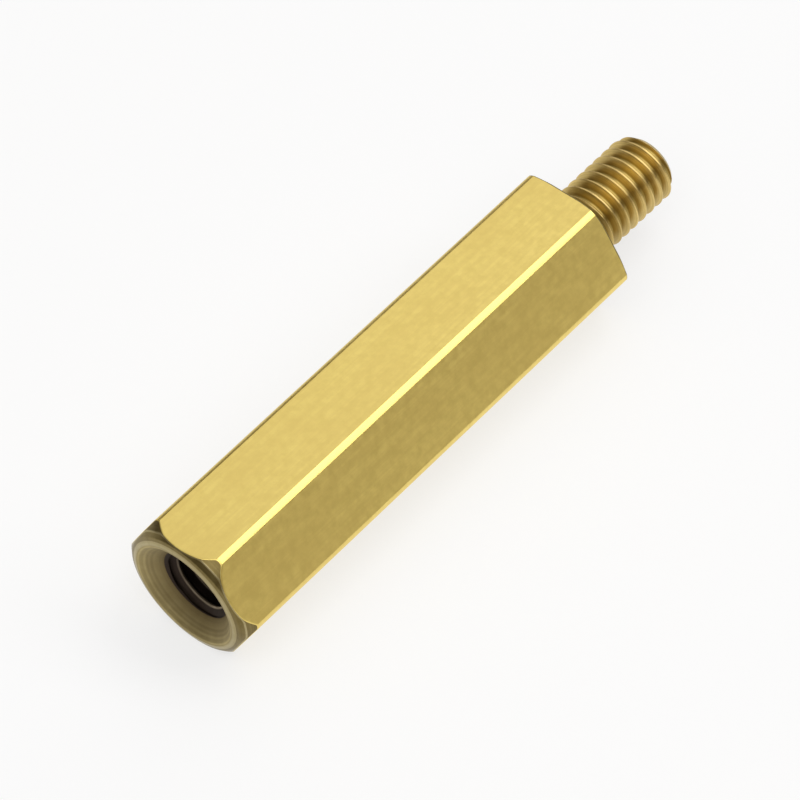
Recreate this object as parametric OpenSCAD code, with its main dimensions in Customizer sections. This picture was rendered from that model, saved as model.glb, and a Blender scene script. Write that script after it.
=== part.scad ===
// Hex standoff, tapped at one end and with a threaded stud at the other.
// It is turned in one piece from hexagonal brass bar.
// It lies on one of its flats, with its axis along X: the tapped end is at -X and the stud's tip at +X.
// All lengths are in millimetres.

/* [Hexagonal bar] */
// Width of the bar across its flats
hex_af = 5.5; // [5:0.1:8]
// Length of the hexagon, from the tapped end to the shoulder
hex_length = 22; // [12:0.5:60]
// Radius to which the six long edges are crowned, as the bar was drawn
edge_radius = 0.65; // [0.3:0.05:1.2]
// Angle at which a crowned edge breaks away from the flats beside it, in degrees
edge_meet_angle = 18; // [10:1:24]

/* [Tapped end] */
// How far inside the flats the end face stops and falls away in a shallow bevel
tapped_face_inset = 0.3; // [0.15:0.05:0.6]
// Slope of the bevel, in degrees from the end face
tapped_bevel_angle = 20; // [10:1:30]
// How far inside the flats the bevel gives way to the end chamfer
tapped_chamfer_inset = 0.06; // [0.02:0.01:0.12]
// Slope of the end chamfer, in degrees from the end face
tapped_chamfer_angle = 42; // [32:1:50]
// How far outside the flats the chamfer gives way to a steeper break on the corners
corner_break_margin = 0.13; // [0.05:0.01:0.25]
// Slope of the break on the corners, in degrees from the end face
corner_break_angle = 60; // [52:1:70]
// Diameter of the hole, as drilled for the tap
hole_d = 2.5; // [2:0.05:2.9]
// Depth of the hole, from the end face to the start of the drill's point
hole_depth = 8; // [4:0.5:10]
// Full angle of the drill's point, in degrees
drill_point_angle = 118; // [90:1:140]
// Diameter of the small flat that the drill's chisel edge leaves at the bottom
drill_flat_d = 0.3; // [0.1:0.05:0.6]
// Diameter of the countersink at the end face
countersink_d = 4.6; // [3.2:0.1:4.8]
// Full angle of the countersink, in degrees
countersink_angle = 100; // [60:5:120]

/* [Shoulder] */
// How far outside the flats the shoulder's chamfer starts, so that it takes off only the corners
shoulder_face_margin = 0.05; // [0.02:0.01:0.2]
// Slope of the shoulder's chamfer, in degrees from the shoulder
shoulder_chamfer_angle = 16; // [10:1:45]

/* [Stud] */
// Diameter of the stud over its thread
stud_d = 3; // [2.6:0.1:4]
// Length of the stud, from the shoulder to its tip
stud_length = 5; // [3:0.5:12]
// How far the stud's foot, where it meets the shoulder, stands out past the thread
foot_margin = 0.05; // [0.02:0.01:0.1]
// Diameter of the thread relief between the foot and the thread
relief_d = 2.3; // [1.8:0.05:2.5]
// Width of the thread relief at its bottom
relief_width = 0.3; // [0.2:0.05:0.8]
// Slope of the relief's two sides, in degrees from the axis
relief_slope_angle = 45; // [30:5:60]
// Length of the chamfer on the stud's tip
tip_chamfer = 0.35; // [0.1:0.05:0.6]
// Slope of the tip's chamfer, in degrees from the axis
tip_chamfer_angle = 45; // [30:5:60]

/* [Hidden] */
$fn = 96;

// How far cutting shapes and buried ends run past the faces that they cross
overrun = 0.5;

// The flats face these ways round the axis, in pairs, and the corners lie half way between them
flat_turns = [0, 60, 120];
corner_turns = [30, 90, 150, 210, 270, 330];

// Distance of the sharp corners from the axis, and a radius that clears them
corner_r = hex_af / 2 / cos(30);
clear_r = corner_r + overrun;
// Distance of the crowned edges' centres from the axis, which is also the width between two of them
edge_centre_r = (hex_af / 2 - edge_radius * cos(edge_meet_angle)) / cos(30);

// Where the tapped end's bevel, chamfer and corner break start, and where the last meets the clearing radius
tapped_face_r = hex_af / 2 - tapped_face_inset;
tapped_chamfer_r = hex_af / 2 - tapped_chamfer_inset;
tapped_chamfer_start = (tapped_chamfer_r - tapped_face_r) * tan(tapped_bevel_angle);
corner_break_r = hex_af / 2 + corner_break_margin;
corner_break_start = tapped_chamfer_start + (corner_break_r - tapped_chamfer_r) * tan(tapped_chamfer_angle);
corner_break_end = corner_break_start + (clear_r - corner_break_r) * tan(corner_break_angle);
// Where the shoulder's chamfer starts, and how far it reaches before it meets the clearing radius
shoulder_face_r = hex_af / 2 + shoulder_face_margin;
shoulder_chamfer_height = (clear_r - shoulder_face_r) * tan(shoulder_chamfer_angle);

hole_r = hole_d / 2;
countersink_r = countersink_d / 2;
countersink_depth = (countersink_r - hole_r) / tan(countersink_angle / 2);
countersink_overrun_r = countersink_r + overrun * tan(countersink_angle / 2);
drill_flat_r = drill_flat_d / 2;
hole_bottom = hole_depth + (hole_r - drill_flat_r) / tan(drill_point_angle / 2);

stud_r = stud_d / 2;
foot_r = stud_r + foot_margin;
relief_r = relief_d / 2;
relief_start = (foot_r - relief_r) / tan(relief_slope_angle);
relief_end = relief_start + relief_width;
thread_start = relief_end + (stud_r - relief_r) / tan(relief_slope_angle);
tip_r = stud_r - tip_chamfer * tan(tip_chamfer_angle);

total_length = hex_length + stud_length;

// Section of the drawn bar: a hexagon, with its corners cut back to crowned edges
module bar_section() {
    intersection() {
        rotate(corner_turns[0])
            circle(corner_r, $fn = 6);
        union() {
            for (turn = flat_turns)
                rotate(turn)
                    square([2 * clear_r, edge_centre_r], center = true);
            for (turn = corner_turns)
                rotate(turn)
                    translate([edge_centre_r, 0])
                        circle(edge_radius);
        }
    }
}

// What the lathe leaves of the bar: a round envelope, with three cones at one end and one at the other
module turned_envelope() {
    rotate_extrude()
        polygon([
            [0, 0],
            [tapped_face_r, 0],
            [tapped_chamfer_r, tapped_chamfer_start],
            [corner_break_r, corner_break_start],
            [clear_r, corner_break_end],
            [clear_r, hex_length - shoulder_chamfer_height],
            [shoulder_face_r, hex_length],
            [0, hex_length]
        ]);
}

// The hexagon, from the tapped end at 0 to the shoulder
module hex_body() {
    intersection() {
        linear_extrude(hex_length)
            bar_section();
        turned_envelope();
    }
}

// The stud, from inside the hexagon out to its chamfered tip, with a relief between shoulder and thread
module stud() {
    translate([0, 0, hex_length])
        rotate_extrude()
            polygon([
                [0, -overrun],
                [foot_r, -overrun],
                [foot_r, 0],
                [relief_r, relief_start],
                [relief_r, relief_end],
                [stud_r, thread_start],
                [stud_r, stud_length - tip_chamfer],
                [tip_r, stud_length],
                [0, stud_length]
            ]);
}

// The blind hole for the internal thread, with its countersunk mouth and the point that the drill leaves
module tapped_hole() {
    rotate_extrude()
        polygon([
            [0, -overrun],
            [countersink_overrun_r, -overrun],
            [hole_r, countersink_depth],
            [hole_r, hole_depth],
            [drill_flat_r, hole_bottom],
            [0, hole_bottom]
        ]);
}

// The whole piece, laid on a flat with its middle over the origin
module standoff() {
    color("#cfae5a")
        translate([-total_length / 2, 0, hex_af / 2])
            rotate([0, 90, 0])
                difference() {
                    union() {
                        hex_body();
                        stud();
                    }
                    tapped_hole();
                }
}

standoff();
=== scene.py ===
"""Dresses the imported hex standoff: one turned brass piece with real threads, on a pale floor in soft light.

Lengths are in millimetres, apart from the floor and the lamps, which are in metres.
"""

import logging
import math
from dataclasses import dataclass, field
from enum import Enum
from typing import ClassVar

import bmesh
import bpy
import numpy as np
from mathutils import Matrix, Vector

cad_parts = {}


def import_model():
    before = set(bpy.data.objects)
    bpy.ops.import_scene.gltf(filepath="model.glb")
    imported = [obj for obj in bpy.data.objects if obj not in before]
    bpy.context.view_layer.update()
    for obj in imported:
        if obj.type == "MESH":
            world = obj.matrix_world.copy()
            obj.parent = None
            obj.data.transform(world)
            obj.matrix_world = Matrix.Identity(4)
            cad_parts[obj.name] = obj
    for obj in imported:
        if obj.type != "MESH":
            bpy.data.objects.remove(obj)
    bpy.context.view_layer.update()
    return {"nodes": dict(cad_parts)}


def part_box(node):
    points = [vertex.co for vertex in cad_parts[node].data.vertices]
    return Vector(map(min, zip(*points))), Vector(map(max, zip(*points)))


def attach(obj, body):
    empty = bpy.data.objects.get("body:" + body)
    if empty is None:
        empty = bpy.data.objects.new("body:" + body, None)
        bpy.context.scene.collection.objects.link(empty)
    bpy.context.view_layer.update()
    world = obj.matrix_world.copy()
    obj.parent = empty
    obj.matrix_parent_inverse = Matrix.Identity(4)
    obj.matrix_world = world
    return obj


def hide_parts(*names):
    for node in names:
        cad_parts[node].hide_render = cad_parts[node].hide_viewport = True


frame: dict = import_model()

MM = 0.001
TINY = 1e-9
SIDES = 6
FULL_TURN = 2 * math.pi
SIXTH_TURN = FULL_TURN / SIDES

Colour = tuple[float, float, float]
Direction = tuple[float, float, float]
Place = tuple[float, float, float]
Span = tuple[float, float]
Corner = tuple[np.ndarray | float, np.ndarray | float]
Cut = tuple[float, float]

log = logging.getLogger("standoff")


class Surface(Enum):
    """The kinds of surface that making the standoff leaves on the brass."""

    DRAWN = 0
    TURNED = 1
    # Painted shade: the chamfers' finish is darkened to stand for the dark surroundings they mirror.
    CHAMFER = 2
    COUNTERSINK = 3
    STUD_THREAD = 4
    BORE_THREAD = 5


class Grain(Enum):
    """The way the tool marks of a finish run."""

    ALONG = "along the bar"
    RINGS = "round the axis"


def grid_quads(rows: int, columns: int) -> np.ndarray:
    """Faces of a grid of points that are numbered row by row.

    The face at row i and column j joins the points (i, j), (i, j + 1), (i + 1, j + 1) and (i + 1, j).

    Args:
        rows: the number of rows.
        columns: the number of points in a row.

    Returns:
        The four point numbers of each face.
    """
    number = np.arange(rows * columns).reshape(rows, columns)
    quads = np.stack([number[:-1, :-1], number[:-1, 1:], number[1:, 1:], number[1:, :-1]], axis=-1)
    return quads.reshape(-1, 4)


@dataclass
class Band:
    """Rows of the skin that share one finish.

    Each row has one point for each column round the axis. The points are held as their distance along
    the axis and their radius.
    """

    along: np.ndarray
    radius: np.ndarray
    surface: Surface


@dataclass
class Columns:
    """The angles round the axis at which the skin has its columns, counted from +Y towards +Z.

    The last column closes the turn, so it lies on the first.
    """

    angle: np.ndarray

    @property
    def turn(self) -> np.ndarray:
        """The share of a full turn that each column has gone."""
        return self.angle / FULL_TURN

    def level(self, value: float | np.ndarray) -> np.ndarray:
        """Spreads one value, or one value per column, over all columns."""
        return np.broadcast_to(np.asarray(value, float), self.angle.shape)


@dataclass
class Profile:
    """Rows along a profile of straight stretches whose inner corners are rounded.

    Each inner corner P gives way to the curve (1-t)^2 A + 2t(1-t) P + t^2 B, with t from 0 to 1, where A
    and B lie on the two stretches at the cut's two distances from P. A cut takes no more than a share of a
    stretch, which is larger for the first and the last. A row close to each end of a stretch holds it
    straight.
    """

    columns: Columns
    corners: list[Corner]
    cuts: list[Cut]
    steps: int = 6
    hold: float = 0.05
    hold_share: float = 0.05
    end_cut_share: float = 0.9
    inner_cut_share: float = 0.45

    first_rows: ClassVar[int] = 3
    held_rows: ClassVar[int] = 2

    def rows(self) -> np.ndarray:
        """Works the rows out.

        Returns:
            An array of rows by two by columns, with distances along the axis first and radii second.
        """
        level = self.columns.level
        points = np.stack([np.stack([level(along), level(radius)]) for along, radius in self.corners])
        span = points[1:] - points[:-1]
        length = np.maximum(np.linalg.norm(span, axis=1, keepdims=True), TINY)
        way = span / length
        before, after = np.asarray(self.cuts).T[:, :, None, None]
        is_inner = np.arange(len(length)) % (len(length) - 1) > 0
        room = length * np.where(is_inner, self.inner_cut_share, self.end_cut_share)[:, None, None]
        lead = np.pad(np.minimum(after, room[1:]), ((1, 0), (0, 0), (0, 0)))
        trail = np.pad(np.minimum(before, room[:-1]), ((0, 1), (0, 0), (0, 0)))
        inset = np.minimum(self.hold, self.hold_share * length)
        near = points[:-1] + way * (lead + inset)
        far = points[1:] - way * (trail + inset)
        t = np.linspace(0.0, 1.0, self.steps + 1)[:, None, None, None]
        first = points[1:-1] - way[:-1] * trail[:-1]
        last = points[1:-1] + way[1:] * lead[1:]
        curves = (1 - t) ** 2 * first + 2 * t * (1 - t) * points[1:-1] + t ** 2 * last
        blocks = [points[:1], near[:1], far[:1]]
        for index in range(len(self.cuts)):
            blocks += [curves[:, index], near[index + 1:index + 2], far[index + 1:index + 2]]
        return np.concatenate([*blocks, points[-1:]])

    def curve_start(self, corner: int) -> int:
        """Number of the row at which an inner corner's curve starts."""
        curve_rows = self.steps + 1
        return self.first_rows + (curve_rows + self.held_rows) * (corner - 1)

    def curve_end(self, corner: int) -> int:
        """Number of the row at which an inner corner's curve ends."""
        return self.curve_start(corner) + self.steps

    def bands(self, *ends: tuple[int, Surface], rest: Surface) -> list[Band]:
        """Cuts the rows into bands of one finish each.

        Args:
            ends: for each band but the last, the row at which it ends and its surface.
            rest: the last band's surface.

        Returns:
            The bands in order. Neighbours share a row.
        """
        rows = self.rows()
        made: list[Band] = []
        first = 0
        for last, surface in [*ends, (len(rows) - 1, rest)]:
            made.append(Band(rows[first:last + 1, 0], rows[first:last + 1, 1], surface))
            first = last
        return made


@dataclass
class Thread:
    """A right-hand thread, as a radius that depends on the place along the axis and the angle."""

    pitch: float
    crest_at: float
    rows_per_turn: int = 16

    def rows(self, columns: Columns, start: float, end: float) -> tuple[np.ndarray, np.ndarray]:
        """Rows that follow the helix, each at one height on the thread's flank.

        Row k lies at crest_at + pitch * (k / rows_per_turn + turn), held between start and end. So a row
        meets the row one pitch further on at the seam, and at both ends the rows fall together.

        Args:
            columns: the columns round the axis.
            start: the lowest place along the axis.
            end: the highest place along the axis.

        Returns:
            The distances along the axis, and how far each point is from the nearest crest, in pitches.
        """
        first = math.floor(((start - self.crest_at) / self.pitch - 1) * self.rows_per_turn)
        last = math.ceil((end - self.crest_at) / self.pitch * self.rows_per_turn)
        height = np.arange(first, last + 1)[:, None] / self.rows_per_turn
        along = np.clip(self.crest_at + self.pitch * (height + columns.turn), start, end)
        phase = (along - self.crest_at) / self.pitch - columns.turn
        return along, np.abs((phase + 0.5) % 1.0 - 0.5)

    @staticmethod
    def meet(first: np.ndarray, second: np.ndarray, ridge: float) -> np.ndarray:
        """The smaller of two radii, with the ridge where they meet rounded off.

        With h = (1 + (second - first) / ridge) / 2, held between 0 and 1, it is
        h * first + (1 - h) * second - ridge * h * (1 - h).

        Args:
            first: one radius at each point.
            second: the other radius.
            ridge: the difference of the radii within which the ridge is rounded.

        Returns:
            The radius at each point.
        """
        share = np.clip(0.5 + 0.5 * (second - first) / ridge, 0.0, 1.0)
        return share * first + (1 - share) * second - ridge * share * (1 - share)

    @staticmethod
    def flank(from_crest: np.ndarray, crest_half: float, root_half: float, ease: float) -> np.ndarray:
        """The share of the thread's depth at a distance from the crest.

        It is 0 over the crest's flat, 1 over the root's flat and straight between them, and then eased
        towards a half cosine wave, which rounds the crest and the root.

        Args:
            from_crest: distance from the nearest crest, in pitches.
            crest_half: half the crest's flat, in pitches.
            root_half: half the root's flat, in pitches.
            ease: the wave's share, from 0 to 1.

        Returns:
            The share of the depth, from 0 at the crest to 1 at the root.
        """
        straight = np.clip((from_crest - crest_half) / (0.5 - root_half - crest_half), 0.0, 1.0)
        wave = 0.5 - 0.5 * np.cos(FULL_TURN * from_crest)
        return straight * (1 - ease) + wave * ease


@dataclass
class HexBar:
    """The drawn hexagonal bar with its two turned ends."""

    across_flats: float = 5.5
    length: float = 22.0
    edge_radius: float = 0.65
    edge_meet: float = math.radians(18)
    edge_steps: int = 4
    flat_steps: int = 16
    face_inset: float = 0.3
    face_cut: float = 0.10
    bevel_slope: float = math.radians(20)
    # Painted sheen and shade: the share of the bevel that keeps the end ring's paler finish; the rest has the
    # chamfer's painted shade.
    sheen_share: float = 0.65
    chamfer_inset: float = 0.06
    chamfer_slope: float = math.radians(42)
    break_margin: float = 0.13
    break_slope: float = math.radians(60)
    break_hold: float = 0.03
    shoulder_margin: float = 0.05
    shoulder_slope: float = math.radians(16)
    edge_break: float = 0.025
    rim_cut: float = 0.035
    flat_hold: float = 1.0
    flat_rows: int = 14

    @property
    def edge_arc(self) -> float:
        """Half the angle that a crowned edge turns through."""
        return SIXTH_TURN / 2 - self.edge_meet

    @property
    def edge_centre(self) -> float:
        """Distance of the crowned edges' centres from the axis."""
        inside_flat = self.across_flats / 2 - self.edge_radius * math.cos(self.edge_meet)
        return inside_flat / math.cos(SIXTH_TURN / 2)

    @property
    def face_radius(self) -> float:
        """Radius at which the tapped end's face stops and its bevel starts."""
        return self.across_flats / 2 - self.face_inset

    @property
    def chamfer_radius(self) -> float:
        """Radius at which the bevel gives way to the chamfer."""
        return self.across_flats / 2 - self.chamfer_inset

    @property
    def break_radius(self) -> float:
        """Radius at which that chamfer gives way to the break on the corners."""
        return self.across_flats / 2 + self.break_margin

    def tapped_cone(self, radius: np.ndarray) -> np.ndarray:
        """How far from the tapped end the turned envelope reaches a radius.

        It is the bevel's fall plus (radius - C) * tan(chamfer slope), with C the radius at which the
        chamfer starts. Past the break's radius B it grows by a further
        (radius - B) * (tan(break slope) - tan(chamfer slope)).

        Args:
            radius: radii at or past the chamfer's.

        Returns:
            The distances along the axis.
        """
        fall = (self.chamfer_radius - self.face_radius) * math.tan(self.bevel_slope)
        gain = math.tan(self.break_slope) - math.tan(self.chamfer_slope)
        past = np.maximum(radius - self.break_radius, 0.0)
        return fall + (radius - self.chamfer_radius) * math.tan(self.chamfer_slope) + past * gain

    def edge_columns(self) -> np.ndarray:
        """Angles from a corner to the end of its crowned edge, at equal steps of the edge's own arc.

        At arc angle a the edge lies at atan2(R sin a, C + R cos a) round the axis, with R the edge's radius
        and C its centre's distance.

        Returns:
            The angles, from 0 up.
        """
        arc = np.linspace(0.0, self.edge_arc, self.edge_steps + 1)
        return np.arctan2(self.edge_radius * np.sin(arc), self.edge_centre + self.edge_radius * np.cos(arc))

    def columns(self) -> Columns:
        """Columns that are close together over the crowned edges and even over the flats.

        Returns:
            The columns of a full turn.
        """
        edge = self.edge_columns()
        flat = np.linspace(edge[-1], SIXTH_TURN - edge[-1], self.flat_steps + 1)
        sector = np.concatenate([edge[:-1], flat, SIXTH_TURN - edge[-2:0:-1]])
        turns = (np.arange(SIDES)[:, None] * SIXTH_TURN + sector).ravel()
        return Columns(np.append(turns, FULL_TURN))

    def section(self, columns: Columns) -> np.ndarray:
        """Radius of the bar's section at each column.

        At angle d from the nearest corner a flat lies at A / cos(30 degrees - d), with A half the width
        across flats, and a crowned edge at C cos d + sqrt(R^2 - C^2 sin^2 d), with R the edge's radius and
        C its centre's distance. The lesser one is the bar's.

        Args:
            columns: the columns round the axis.

        Returns:
            One radius per column.
        """
        off = np.abs((columns.angle + SIXTH_TURN / 2) % SIXTH_TURN - SIXTH_TURN / 2)
        flat = self.across_flats / 2 / np.cos(SIXTH_TURN / 2 - off)
        inside = np.maximum(self.edge_radius ** 2 - (self.edge_centre * np.sin(off)) ** 2, 0.0)
        edge = self.edge_centre * np.cos(off) + np.sqrt(inside)
        return np.where(off < self.edge_columns()[-1], np.minimum(edge, flat), flat)

    def bands(self, columns: Columns, ring_radius: float, seat_radius: float) -> list[Band]:
        """The bar's skin, from the middle of the end ring over the flats to the middle of the shoulder.

        The tapped end's cones and the shoulder's one meet the section further from the end the further it
        is from the axis, so the ends of the flats follow in arcs. The outer part of the bevel has the
        chamfer's darker finish, which is painted shade, and the ridge between chamfer and corner break has
        the end ring's paler finish as a painted highlight.

        Args:
            columns: the columns round the axis.
            ring_radius: radius at which the end ring's rows begin.
            seat_radius: radius at which the shoulder's rows end.

        Returns:
            The end ring, its chamfer, the flats, and the shoulder with its chamfer.
        """
        skin = self.section(columns)
        broken = np.minimum(self.break_radius, skin - self.break_hold)
        arc = self.tapped_cone(skin)
        rim = np.minimum(self.across_flats / 2 + self.shoulder_margin, skin - self.edge_break)
        bevel = self.length - np.maximum((skin - rim) * math.tan(self.shoulder_slope), self.edge_break)
        even = (self.rim_cut, self.rim_cut)
        fall = self.tapped_cone(np.asarray(self.chamfer_radius))
        # Painted sheen and shade: the bevel has the end ring's paler finish out to here and the chamfer's
        # painted shade beyond.
        sheen_end = self.face_radius + self.sheen_share * (self.chamfer_radius - self.face_radius)
        tapped = Profile(columns, [
            (0.0, ring_radius),
            (0.0, self.face_radius),
            (self.sheen_share * fall, sheen_end),
            (fall, self.chamfer_radius),
            (self.tapped_cone(broken), broken),
            (arc, skin),
            (arc + self.flat_hold, skin),
        ], [(self.face_cut, self.face_cut), even, even, even, even])
        shoulder = Profile(columns, [
            (bevel - self.flat_hold, skin),
            (bevel, skin),
            (self.length, rim),
            (self.length, seat_radius),
        ], [even, even])
        share = np.linspace(0.0, 1.0, self.flat_rows)[:, None]
        flats = (1 - share) * (arc + self.flat_hold) + share * (bevel - self.flat_hold)
        return [
            *tapped.bands(
                (tapped.curve_start(2), Surface.TURNED),
                (tapped.curve_start(4), Surface.CHAMFER),
                # Painted highlight: the ridge between chamfer and corner break takes the end ring's paler
                # finish as a glint.
                (tapped.curve_end(4), Surface.TURNED),
                (tapped.curve_start(5), Surface.CHAMFER),
                rest=Surface.DRAWN,
            ),
            Band(flats, np.broadcast_to(skin, flats.shape), Surface.DRAWN),
            *shoulder.bands(
                (shoulder.curve_start(1), Surface.DRAWN),
                (shoulder.curve_start(2), Surface.CHAMFER),
                rest=Surface.TURNED,
            ),
        ]


@dataclass
class TappedHole:
    """The blind hole in the tapped end: drill point, plain wall, internal thread and countersink."""

    radius: float = 1.25
    depth: float = 8.0
    point_half_angle: float = math.radians(59)
    point_flat: float = 0.15
    point_cuts: tuple[Cut, Cut] = ((0.03, 0.03), (0.05, 0.05))
    root_radius: float = 1.54
    thread_end: float = 6.2
    runout: float = 0.5
    mouth_radius: float = 2.3
    mouth_half_angle: float = math.radians(50)
    mouth_lead: float = 0.02
    lip_cut: Cut = (0.05, 0.10)
    crest_half: float = 0.10
    root_half: float = 0.08
    ease: float = 0.25
    thread: Thread = field(default_factory=lambda: Thread(pitch=0.5, crest_at=0.325))

    def mouth(self, along: np.ndarray | float) -> np.ndarray | float:
        """Radius of the countersink at a place along the axis."""
        return self.mouth_radius - along * math.tan(self.mouth_half_angle)

    def bands(self, columns: Columns, ring_radius: float) -> list[Band]:
        """The hole's skin, from the drill's point out to the middle of the end ring.

        The thread's radius is the drill's plus the groove's depth, kept inside a cone that runs the grooves
        out at the deep end, and never less than the countersink's.

        Args:
            columns: the columns round the axis.
            ring_radius: radius at which the end ring's own rows begin.

        Returns:
            The plain drilled end, the thread and the countersink.
        """
        bottom = self.depth + (self.radius - self.point_flat) / math.tan(self.point_half_angle)
        start = (self.mouth_radius - self.root_radius) / math.tan(self.mouth_half_angle) - self.mouth_lead
        end = self.thread_end + self.runout
        drilled = Profile(columns, [
            (bottom, 0.0),
            (bottom, self.point_flat),
            (self.depth, self.radius),
            (end, self.radius),
        ], list(self.point_cuts))
        along, from_crest = self.thread.rows(columns, start, end)
        depth = self.root_radius - self.radius
        groove = depth * (1 - self.thread.flank(from_crest, self.root_half, self.crest_half, self.ease))
        runout = depth * np.clip((end - along) / self.runout, 0.0, 1.0)
        wall = np.maximum(self.radius + np.minimum(groove, runout), self.mouth(along))
        mouth = Profile(columns, [
            (start, self.mouth(start)),
            (0.0, self.mouth_radius),
            (0.0, ring_radius),
        ], [self.lip_cut])
        return [
            *drilled.bands(rest=Surface.BORE_THREAD),
            Band(along[::-1], wall[::-1], Surface.BORE_THREAD),
            *mouth.bands((mouth.curve_end(1), Surface.COUNTERSINK), rest=Surface.TURNED),
        ]


@dataclass
class Stud:
    """The threaded stud: foot, thread relief, thread and chamfered tip."""

    radius: float = 1.5
    root_radius: float = 1.2
    length: float = 5.0
    foot_radius: float = 1.55
    relief_radius: float = 1.15
    relief_width: float = 0.3
    relief_slope: float = math.radians(45)
    relief_cuts: tuple[Cut, Cut, Cut] = ((0.05, 0.05), (0.12, 0.12), (0.01, 0.01))
    relief_lead: float = 0.02
    tip_chamfer: float = 0.35
    tip_lead: float = 0.03
    tip_cut: Cut = (0.01, 0.06)
    crest_half: float = 0.07
    root_half: float = 0.10
    ease: float = 0.3
    ridge: float = 0.09
    thread: Thread = field(default_factory=lambda: Thread(pitch=0.5, crest_at=0.275))

    def bands(self, columns: Columns, shoulder: float, seat_radius: float) -> list[Band]:
        """The stud's skin, from the middle of the shoulder out to the centre of its tip.

        The thread's radius is the crest's less the groove's depth, and never more than the cone of the
        relief's side, which it meets in a rounded ridge, or the cone of the tip's chamfer.

        Args:
            columns: the columns round the axis.
            shoulder: place of the shoulder along the axis.
            seat_radius: radius at which the shoulder's own rows end.

        Returns:
            The foot with the relief, the thread and the tip's face.
        """
        slope = math.tan(self.relief_slope)
        relief_start = (self.foot_radius - self.relief_radius) / slope
        relief_end = relief_start + self.relief_width
        start = relief_end + self.relief_lead
        end = self.length - self.tip_lead
        tip_radius = self.radius - self.tip_chamfer
        foot = Profile(columns, [
            (shoulder, seat_radius),
            (shoulder, self.foot_radius),
            (shoulder + relief_start, self.relief_radius),
            (shoulder + relief_end, self.relief_radius),
            (shoulder + start, self.relief_radius + self.relief_lead * slope),
        ], list(self.relief_cuts))
        along, from_crest = self.thread.rows(columns, start, end)
        groove = self.thread.flank(from_crest, self.crest_half, self.root_half, self.ease)
        wall = self.radius - (self.radius - self.root_radius) * groove
        side = self.relief_radius + (along - relief_end) * slope
        wall = np.minimum(self.thread.meet(wall, side, self.ridge), tip_radius + self.length - along)
        face = Profile(columns, [
            (shoulder + end, tip_radius + self.tip_lead),
            (shoulder + self.length, tip_radius),
            (shoulder + self.length, 0.0),
        ], [self.tip_cut])
        return [
            *foot.bands(rest=Surface.TURNED),
            Band(shoulder + along, wall, Surface.STUD_THREAD),
            *face.bands(rest=Surface.TURNED),
        ]


class NodeSheet:
    """Lays shader nodes on a tree and joins them."""

    def __init__(self, tree: bpy.types.NodeTree) -> None:
        """Starts on an emptied tree."""
        self.tree = tree
        tree.nodes.clear()

    def add(self, kind: str, values: dict | None = None, **settings: object) -> bpy.types.Node:
        """Adds a node, sets it up and feeds its sockets.

        Args:
            kind: the node's type name.
            values: socket names or numbers, each with a constant or with the output socket that feeds it.
            settings: the node's own properties.

        Returns:
            The new node.
        """
        node = self.tree.nodes.new(kind)
        for name, value in settings.items():
            setattr(node, name, value)
        for name, value in (values or {}).items():
            if isinstance(value, bpy.types.NodeSocket):
                self.tree.links.new(value, node.inputs[name])
            else:
                node.inputs[name].default_value = value
        return node

    def math(self, operation: str, first: object, second: object = 0.0) -> bpy.types.NodeSocket:
        """One step of arithmetic on two numbers or sockets."""
        return self.add("ShaderNodeMath", {0: first, 1: second}, operation=operation).outputs[0]

    def blend(self, share: object, first: object, second: object) -> bpy.types.NodeSocket:
        """A colour between two, each of which is a colour or the socket that gives one."""
        ends = [end if isinstance(end, bpy.types.NodeSocket) else (*end, 1.0) for end in (first, second)]
        return self.add("ShaderNodeMix", {0: share, 6: ends[0], 7: ends[1]}, data_type="RGBA").outputs[2]

    def span(self, value: object, low_high: Span, onto: Span) -> bpy.types.NodeSocket:
        """A number carried from one range to another, held at its ends."""
        values = {0: value, 1: low_high[0], 2: low_high[1], 3: onto[0], 4: onto[1]}
        return self.add("ShaderNodeMapRange", values).outputs[0]


@dataclass(frozen=True)
class Noise:
    """A noise pattern: its waves in a unit of length, its levels of detail and how harsh they are."""

    waves: float
    detail: float = 2.0
    harshness: float = 0.5

    def over(self, sheet: NodeSheet, place: bpy.types.NodeSocket) -> bpy.types.NodeSocket:
        """The noise at a place, from 0 to 1."""
        return self._lay(sheet, "Vector", place, "3D")

    def along(self, sheet: NodeSheet, distance: bpy.types.NodeSocket) -> bpy.types.NodeSocket:
        """The noise at a distance, from 0 to 1."""
        return self._lay(sheet, "W", distance, "1D")

    def _lay(self, sheet: NodeSheet, socket: str, source: bpy.types.NodeSocket,
             dimensions: str) -> bpy.types.NodeSocket:
        """Lays the noise's node.

        Args:
            sheet: the node sheet to draw on.
            socket: the name of the socket that the source feeds.
            source: the place or distance.
            dimensions: the kind of the source, as the node names it.

        Returns:
            The noise, from 0 to 1.
        """
        node = sheet.add("ShaderNodeTexNoise", noise_dimensions=dimensions, values={
            socket: source,
            "Scale": self.waves,
            "Detail": self.detail,
            "Roughness": self.harshness,
        })
        return node.outputs[0]


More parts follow.
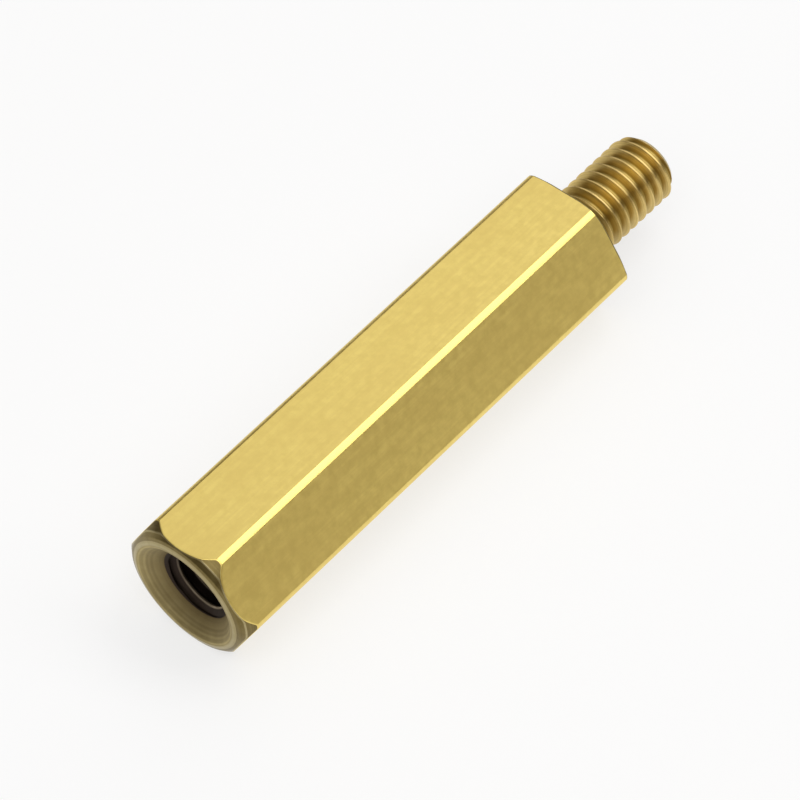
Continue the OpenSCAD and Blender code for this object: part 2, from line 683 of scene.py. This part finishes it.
@dataclass(frozen=True)
class BrassFinish:
    """One finish of the brass: its tones, its gloss, its tool marks, and on some the painted shade in its
    hollows.

    Attributes:
        name: the material's name.
        pale: tone of the palest mottles.
        deep: tone of the deepest mottles.
        stain_and_shade: tone of tarnish, and of the painted shade in hollows and deep in the hole.
        grain: the way the tool marks run.
        gloss: roughness at the two ends of the mottle.
        mark_depth: depth of the tool marks.
        groove: radius at which the finish turns most to the dark tone, and radius at which that ends; it is
            painted shade in the countersink and the bore, and on the stud's thread partly patina in the roots
            and partly painted shade.
        groove_share: the dark tone's share at the first of these radii.
        depth_shade: place along X at which painted shade starts to darken the finish deeper into the hole,
            and place at which that ends.
        depth_shade_share: the painted shade's share at the second of these places.
    """

    name: str
    pale: Colour
    deep: Colour
    stain_and_shade: Colour
    grain: Grain
    gloss: Span
    mark_depth: float
    groove: Span | None = None
    groove_share: float = 0.0
    depth_shade: Span | None = None
    depth_shade_share: float = 0.0

    mottle: ClassVar[Noise] = Noise(2.6, 3.0, 0.6)
    mottle_span: ClassVar[Span] = (0.35, 0.65)
    mottle_height_share: ClassVar[float] = 0.6
    gloss_span: ClassVar[Span] = (0.3, 0.7)
    tarnish: ClassVar[Noise] = Noise(0.42, 3.0, 0.5)
    tarnish_span: ClassVar[Span] = (0.42, 0.75)
    tarnish_share: ClassVar[float] = 0.45
    draw_lines: ClassVar[Noise] = Noise(1.0, 3.0, 0.6)
    draw_stretch: ClassVar[Direction] = (0.12, 7.0, 7.0)
    turning_rings: ClassVar[Noise] = Noise(11.0, 2.0, 0.5)
    ring_lean: ClassVar[float] = 0.8
    mark_span: ClassVar[Span] = (0.58, 0.42)
    mark_share: ClassVar[float] = 0.32

    def material(self, axis_height: float) -> bpy.types.Material:
        """Builds the finish as shader nodes on Object coordinates, counted in millimetres.

        A fine noise mottles the tone and the gloss, and a broad one tarnishes it. A stretched noise or rings
        of random depth give the tool marks, whose hollows turn partly to the dark tone. A finish with a
        groove also turns to the dark tone towards a radius, and one with a depth shade does so deeper into
        the hole along the axis; both are painted shade, though on the stud's thread the groove is partly
        patina.

        Args:
            axis_height: height of the standoff's axis over the floor.

        Returns:
            The material.
        """
        made = bpy.data.materials.new(self.name)
        made.use_nodes = True
        sheet = NodeSheet(made.node_tree)
        place = sheet.add("ShaderNodeTexCoord").outputs["Object"]
        scaled = sheet.add("ShaderNodeVectorMath", {0: place, "Scale": 1 / MM}, operation="SCALE").outputs[0]
        axis = (0.0, 0.0, axis_height)
        point = sheet.add("ShaderNodeVectorMath", {0: scaled, 1: axis}, operation="SUBTRACT").outputs[0]
        along, across, up = sheet.add("ShaderNodeSeparateXYZ", {0: point}).outputs
        squares = sheet.math("ADD", sheet.math("MULTIPLY", across, across), sheet.math("MULTIPLY", up, up))
        radius = sheet.math("SQRT", squares)
        mottle = self.mottle.over(sheet, point)
        tarnish = self.tarnish.over(sheet, point)
        marks = self._marks(sheet, point, along, radius)
        tone = sheet.blend(sheet.span(mottle, self.mottle_span, (0.0, 1.0)), self.deep, self.pale)
        shares_of_stain_and_shade = [
            sheet.span(tarnish, self.tarnish_span, (0.0, self.tarnish_share)),
            sheet.span(marks, self.mark_span, (0.0, self.mark_share)),
        ]
        # Painted shade: the tone turns to the dark tarnish-and-shade colour towards the groove's radius and,
        # along the axis, deeper into the hole; on the stud's thread the groove part is also patina in the
        # roots.
        if self.groove:
            shares_of_stain_and_shade.append(sheet.span(radius, self.groove, (self.groove_share, 0.0)))
        if self.depth_shade:
            shares_of_stain_and_shade.append(sheet.span(along, self.depth_shade, (0.0, self.depth_shade_share)))
        for share in shares_of_stain_and_shade:
            tone = sheet.blend(share, tone, self.stain_and_shade)
        height = sheet.math("ADD", sheet.math("MULTIPLY", mottle, self.mottle_height_share), marks)
        bump = sheet.add("ShaderNodeBump", {
            "Strength": 1.0,
            "Distance": self.mark_depth * MM,
            "Height": height,
        })
        brass = sheet.add("ShaderNodeBsdfPrincipled", {
            "Base Color": tone,
            "Metallic": 1.0,
            "Roughness": sheet.span(mottle, self.gloss_span, self.gloss),
            "Normal": bump.outputs[0],
        })
        sheet.add("ShaderNodeOutputMaterial", {"Surface": brass.outputs[0]})
        return made

    def _marks(self, sheet: NodeSheet, point: bpy.types.NodeSocket, along: bpy.types.NodeSocket,
               radius: bpy.types.NodeSocket) -> bpy.types.NodeSocket:
        """The height of the tool marks.

        Args:
            sheet: the node sheet to draw on.
            point: the place in millimetres, counted from the axis.
            along: its distance along the axis.
            radius: its distance from the axis.

        Returns:
            A height from 0 to 1.
        """
        if self.grain is Grain.ALONG:
            values = {0: point, 1: self.draw_stretch}
            stretched = sheet.add("ShaderNodeVectorMath", values, operation="MULTIPLY").outputs[0]
            return self.draw_lines.over(sheet, stretched)
        ring = sheet.math("ADD", radius, sheet.math("MULTIPLY", along, self.ring_lean))
        return self.turning_rings.along(sheet, ring)


FINISHES: dict[Surface, BrassFinish] = {
    Surface.DRAWN: BrassFinish(
        name="drawn_brass",
        pale=(0.915, 0.722, 0.217),
        deep=(0.814, 0.628, 0.179),
        stain_and_shade=(0.780, 0.583, 0.168),
        grain=Grain.ALONG,
        gloss=(0.29, 0.37),
        mark_depth=0.0016,
    ),
    Surface.TURNED: BrassFinish(
        name="turned_brass",
        pale=(0.455, 0.382, 0.203),
        deep=(0.367, 0.308, 0.147),
        stain_and_shade=(0.285, 0.220, 0.097),
        grain=Grain.RINGS,
        gloss=(0.30, 0.38),
        mark_depth=0.0022,
    ),
    # Painted shade: these tones, about a quarter of the drawn flats', stand for the dark surroundings that
    # the chamfers and the outer bevel mirror; the rings and gloss are the turning's own.
    Surface.CHAMFER: BrassFinish(
        name="chamfer_brass_painted_shade",
        pale=(0.244, 0.189, 0.073),
        deep=(0.183, 0.137, 0.049),
        stain_and_shade=(0.134, 0.098, 0.032),
        grain=Grain.RINGS,
        gloss=(0.29, 0.36),
        mark_depth=0.0020,
    ),
    Surface.COUNTERSINK: BrassFinish(
        name="countersunk_brass",
        pale=(0.600, 0.500, 0.243),
        deep=(0.500, 0.408, 0.184),
        stain_and_shade=(0.120, 0.083, 0.035),
        grain=Grain.RINGS,
        gloss=(0.54, 0.64),
        mark_depth=0.0080,
        # Painted shade: the countersink turns almost to its dark brown towards the hole, standing for the
        # shade inside it.
        groove=(1.45, 2.45),
        groove_share=0.90,
    ),
    Surface.STUD_THREAD: BrassFinish(
        name="cut_thread_brass",
        pale=(0.800, 0.607, 0.239),
        deep=(0.700, 0.518, 0.189),
        stain_and_shade=(0.340, 0.240, 0.064),
        grain=Grain.RINGS,
        gloss=(0.32, 0.44),
        mark_depth=0.0012,
        # Towards the roots the thread turns to its dark brown: partly patina, partly painted shade in the
        # grooves.
        groove=(1.22, 1.46),
        groove_share=0.80,
    ),
    Surface.BORE_THREAD: BrassFinish(
        name="tapped_brass",
        pale=(0.720, 0.590, 0.420),
        deep=(0.580, 0.475, 0.330),
        # Painted shade: the flanks and roots turn almost black, and the thread darkens deeper into the hole,
        # standing for the shade inside the bore.
        stain_and_shade=(0.030, 0.020, 0.016),
        grain=Grain.RINGS,
        gloss=(0.48, 0.58),
        mark_depth=0.0012,
        groove=(1.32, 1.25),
        groove_share=0.97,
        depth_shade=(-12.66, -12.45),
        depth_shade_share=0.80,
    ),
}


@dataclass
class Standoff:
    """The whole standoff: the bar, the tapped hole and the stud as one closed skin."""

    bar: HexBar = field(default_factory=HexBar)
    hole: TappedHole = field(default_factory=TappedHole)
    stud: Stud = field(default_factory=Stud)
    ring_share: float = 0.73
    seat_share: float = 0.5
    weld_gap: float = 0.0002
    sharp_angle: float = math.radians(17)
    axis_height: float = 0.0
    piece: bpy.types.Object | None = None

    def bands(self, columns: Columns) -> list[Band]:
        """All bands of the skin in order, from the hole's bottom to the stud's tip."""
        ring = self.hole.mouth_radius + self.ring_share * (self.bar.face_radius - self.hole.mouth_radius)
        seat = self.stud.foot_radius + self.seat_share * (self.bar.face_radius - self.stud.foot_radius)
        return [
            *self.hole.bands(columns, ring),
            *self.bar.bands(columns, ring, seat),
            *self.stud.bands(columns, self.bar.length, seat),
        ]

    def build(self, low: Vector, high: Vector) -> bpy.types.Object:
        """Builds the skin as one mesh in the frame's place.

        A point at distance x along the axis, radius r and angle a lies at (x, r cos a, r sin a) from the
        middle of the tapped end. Rows and columns make a grid of quads, whose seam, poles and shared rows
        are then welded.

        Args:
            low: the solid's lowest corner, in metres.
            high: the solid's highest corner, in metres.

        Returns:
            The standoff's object.
        """
        columns = self.bar.columns()
        bands = self.bands(columns)
        along = np.concatenate([band.along for band in bands])
        radius = np.concatenate([band.radius for band in bands])
        cosine, sine = np.cos(columns.angle), np.sin(columns.angle)
        cosine[-1], sine[-1] = cosine[0], sine[0]
        self.axis_height = 0.5 * (low.z + high.z) / MM
        points = np.stack([low.x / MM + along, radius * cosine, self.axis_height + radius * sine], axis=-1)
        kind = np.concatenate([np.full(len(band.along), band.surface.value) for band in bands])[:-1]
        mesh = bpy.data.meshes.new("standoff_skin")
        mesh.from_pydata((points.reshape(-1, 3) * MM).tolist(), [], grid_quads(*along.shape).tolist())
        mesh.polygons.foreach_set("material_index", np.repeat(kind, along.shape[1] - 1).astype(np.int32))
        self._weld(mesh)
        self.piece = bpy.data.objects.new("brass_standoff", mesh)
        bpy.context.scene.collection.objects.link(self.piece)
        return self.piece

    def _weld(self, mesh: bpy.types.Mesh) -> None:
        """Welds the grid into one closed skin that faces outwards, smooth but for its sharp edges.

        Args:
            mesh: the mesh to weld.
        """
        skin = bmesh.new()
        skin.from_mesh(mesh)
        bmesh.ops.remove_doubles(skin, verts=skin.verts, dist=self.weld_gap * MM)
        bmesh.ops.recalc_face_normals(skin, faces=skin.faces)
        skin.to_mesh(mesh)
        skin.free()
        mesh.polygons.foreach_set("use_smooth", np.ones(len(mesh.polygons), bool))
        mesh.set_sharp_from_angle(angle=self.sharp_angle)
        mesh.update()

    def dress(self) -> None:
        """Gives each kind of surface its finish and ties the piece to the frame."""
        for surface in Surface:
            self.piece.data.materials.append(FINISHES[surface].material(self.axis_height))
        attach(self.piece, "root")
        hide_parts("standoff")


@dataclass(frozen=True)
class Softbox:
    """A rectangular lamp that faces the standoff."""

    name: str
    direction: Direction
    distance: float
    width: float
    height: float
    height_along: Direction
    radiance: float
    colour: Colour = (1.0, 1.0, 1.0)

    def place(self) -> bpy.types.Object:
        """Hangs the lamp in its direction from the standoff's middle.

        Returns:
            The lamp's object.
        """
        lamp = bpy.data.lights.new(self.name, "AREA")
        lamp.shape = "RECTANGLE"
        lamp.size, lamp.size_y = self.width, self.height
        lamp.energy = self.radiance * math.pi * self.width * self.height
        lamp.color = self.colour
        hung = bpy.data.objects.new(self.name, lamp)
        away = Vector(self.direction).normalized()
        side = Vector(self.height_along).cross(away).normalized()
        turn = Matrix((side, away.cross(side), away)).transposed()
        hung.matrix_world = Matrix.Translation(away * self.distance) @ turn.to_4x4()
        bpy.context.scene.collection.objects.link(hung)
        return hung


@dataclass
class Studio:
    """The pale floor, the room's light, the lamps and the camera."""

    floor_side: float = 3.0
    floor_points: int = 9
    floor_tone: Colour = (0.95, 0.95, 0.95)
    fibre_tone: Colour = (0.94, 0.94, 0.938)
    fibre: Noise = Noise(900.0)
    white_share: float = 0.7
    room_from: Direction = (-0.15, 0.10, 0.98)
    room_stops: tuple[tuple[float, Colour], ...] = (
        (0.45, (0.096, 0.055, 0.022)),
        (0.60, (0.136, 0.102, 0.052)),
        (0.78, (0.30, 0.29, 0.27)),
        (0.98, (0.65, 0.65, 0.65)),
    )
    lamps: tuple[Softbox, ...] = (
        Softbox(
            name="front_softbox",
            direction=(0.44, -0.40, 0.80),
            distance=0.45,
            width=0.19,
            height=0.46,
            height_along=(0.0, 0.87, 0.49),
            radiance=2.65,
        ),
        Softbox(
            name="back_softbox",
            direction=(0.70, 0.42, 0.58),
            distance=0.45,
            width=0.45,
            height=0.45,
            height_along=(0.0, 0.0, 1.0),
            radiance=0.61,
            colour=(0.90, 0.90, 1.0),
        ),
        Softbox(
            name="fill_softbox",
            direction=(-0.42, -0.36, 0.83),
            distance=0.60,
            width=0.50,
            height=0.50,
            height_along=(0.0, 0.0, 1.0),
            radiance=1.40,
        ),
    )
    camera_place: Place = (-79.116, -81.093, 140.248)
    camera_aim: Place = (-1.602, -0.184, 2.75)
    camera_roll: float = math.radians(-6.474)
    camera_lens: float = 210.47
    camera_near: float = 10.0

    def build_floor(self) -> bpy.types.Object:
        """Lays the floor as a flat square grid of points at equal steps.

        Returns:
            The floor's object.
        """
        steps = np.linspace(-0.5, 0.5, self.floor_points) * self.floor_side
        across, deep = np.meshgrid(steps, steps)
        points = np.stack([across, deep, np.zeros_like(across)], axis=-1)
        mesh = bpy.data.meshes.new("floor_sheet")
        mesh.from_pydata(points.reshape(-1, 3).tolist(), [], grid_quads(*across.shape).tolist())
        mesh.materials.append(self._paper())
        floor = bpy.data.objects.new("floor", mesh)
        bpy.context.scene.collection.objects.link(floor)
        return floor

    def _paper(self) -> bpy.types.Material:
        """Builds the floor's pale and faintly uneven paper finish.

        The camera and mirrored or refracted rays see it part of the way towards plain white, so that the
        page is white while the standoff's shadow stays. It lights the standoff as paper only.

        Returns:
            The material.
        """
        paper = bpy.data.materials.new("white_paper")
        paper.use_nodes = True
        sheet = NodeSheet(paper.node_tree)
        place = sheet.add("ShaderNodeTexCoord").outputs["Object"]
        colour = sheet.blend(self.fibre.over(sheet, place), self.fibre_tone, self.floor_tone)
        matt = sheet.add("ShaderNodeBsdfDiffuse", {"Color": colour})
        white = sheet.add("ShaderNodeEmission", {"Color": (1.0, 1.0, 1.0, 1.0), "Strength": 1.0})
        path = sheet.add("ShaderNodeLightPath").outputs
        mirrored = sheet.math("MAXIMUM", path["Is Glossy Ray"], path["Is Transmission Ray"])
        seen = sheet.math("MAXIMUM", path["Is Camera Ray"], mirrored)
        share = sheet.math("MULTIPLY", seen, self.white_share)
        page = sheet.add("ShaderNodeMixShader", {0: share, 1: matt.outputs[0], 2: white.outputs[0]})
        sheet.add("ShaderNodeOutputMaterial", {"Surface": page.outputs[0]})
        return paper

    def light(self) -> None:
        """Lights the room: a soft world that is brightest towards one side, and the lamps.

        The world's colour follows the cosine of the angle from that side's direction.
        """
        world = bpy.data.worlds.new("room")
        world.use_nodes = True
        bpy.context.scene.world = world
        sheet = NodeSheet(world.node_tree)
        looking = sheet.add("ShaderNodeTexCoord").outputs["Generated"]
        side = tuple(Vector(self.room_from).normalized())
        toward = sheet.add("ShaderNodeVectorMath", {0: looking, 1: side}, operation="DOT_PRODUCT")
        share = sheet.span(toward.outputs["Value"], (-1.0, 1.0), (0.0, 1.0))
        ramp = sheet.add("ShaderNodeValToRGB", {0: share})
        ramp.color_ramp.interpolation = "EASE"
        steps = ramp.color_ramp.elements
        while len(steps) < len(self.room_stops):
            steps.new(1.0)
        for step, (position, colour) in zip(steps, self.room_stops):
            step.position = position
            step.color = (*colour, 1.0)
        glow = sheet.add("ShaderNodeBackground", {"Color": ramp.outputs[0], "Strength": 1.0})
        sheet.add("ShaderNodeOutputWorld", {"Surface": glow.outputs[0]})
        for lamp in self.lamps:
            lamp.place()

    def aim_camera(self) -> bpy.types.Object:
        """Sets up the camera from which the standoff is seen.

        Returns:
            The camera's object.
        """
        lens = bpy.data.cameras.new("camera")
        lens.lens = self.camera_lens
        lens.clip_start = self.camera_near * MM
        camera = bpy.data.objects.new("camera", lens)
        place = Vector(self.camera_place) * MM
        looking = Vector(self.camera_aim) * MM - place
        turn = looking.to_track_quat("-Z", "Y").to_matrix() @ Matrix.Rotation(self.camera_roll, 3, "Z")
        camera.matrix_world = Matrix.Translation(place) @ turn.to_4x4()
        bpy.context.scene.collection.objects.link(camera)
        bpy.context.scene.camera = camera
        return camera


def main() -> None:
    """Builds and dresses the standoff, then sets up the studio."""
    logging.basicConfig(level=logging.INFO, format="%(name)s: %(message)s")
    scene = bpy.context.scene
    scene.view_settings.view_transform = "Standard"
    low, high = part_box("standoff")
    standoff = Standoff()
    piece = standoff.build(low, high)
    standoff.dress()
    log.info("%s: %d faces", piece.name, len(piece.data.polygons))
    studio = Studio()
    log.info("%s laid", studio.build_floor().name)
    studio.light()
    log.info("%s aimed", studio.aim_camera().name)


if __name__ == "__main__":
    main()
